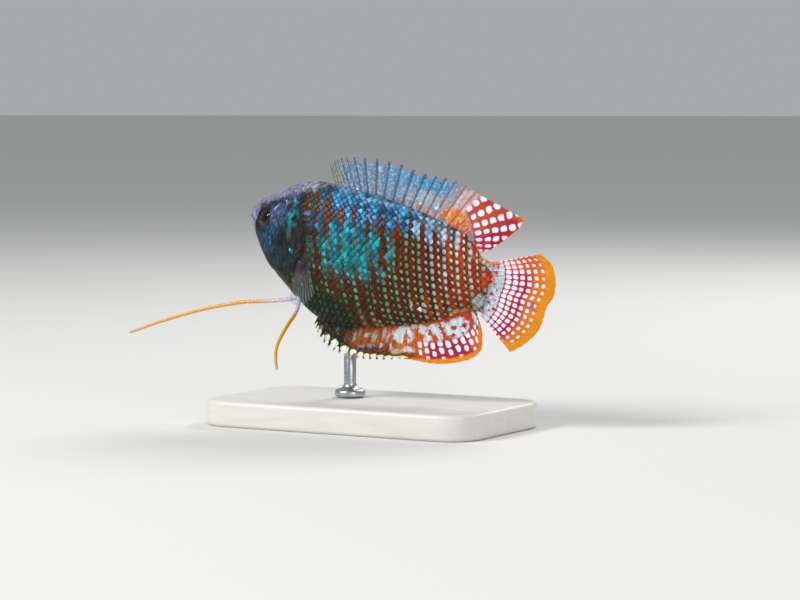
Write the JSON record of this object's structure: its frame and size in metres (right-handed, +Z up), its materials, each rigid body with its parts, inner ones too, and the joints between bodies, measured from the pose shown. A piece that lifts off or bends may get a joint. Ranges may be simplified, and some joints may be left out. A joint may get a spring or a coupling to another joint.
{
  "type": "dwarf gourami, male, life-size still model on a display stand",
  "caption": "Life-size still model of a male dwarf gourami, curved as it swims, with spiny back and belly fins, a fan tail and two long belly feelers, on a flat base with a rod.",
  "frame": {"origin": "on the underside of the base, under the middle of the whole object's box", "axes": "+X towards the tail, -Y towards the fish's left side, +Z up"},
  "size_m": [0.09, 0.0372, 0.0518],
  "materials": {
    "fish_skin": "moist scaled skin, turquoise with orange-red bars",
    "eye": "dark eye, black pupil in a brown-red iris",
    "fin": "fin membrane, orange with pale blue spots",
    "clear_fin": "clear greyish fin membrane",
    "feeler": "yellow-orange feeler, pale at the root",
    "stand_base": "pale satin painted base",
    "stand_rod": "brushed steel rod"
  },
  "bodies": {
    "root": {"head": "fish_skin", "trunk": "fish_skin", "tail_stalk": "fish_skin", "eye_left": "eye", "eye_right": "eye", "dorsal_fin": "fin", "anal_fin": "fin", "caudal_fin": "fin", "pectoral_fin_left": "clear_fin", "pectoral_fin_right": "clear_fin", "pelvic_feeler_left": "feeler", "pelvic_feeler_right": "feeler", "stand_base": "stand_base", "stand_rod": "stand_rod"}
  },
  "joints": []
}
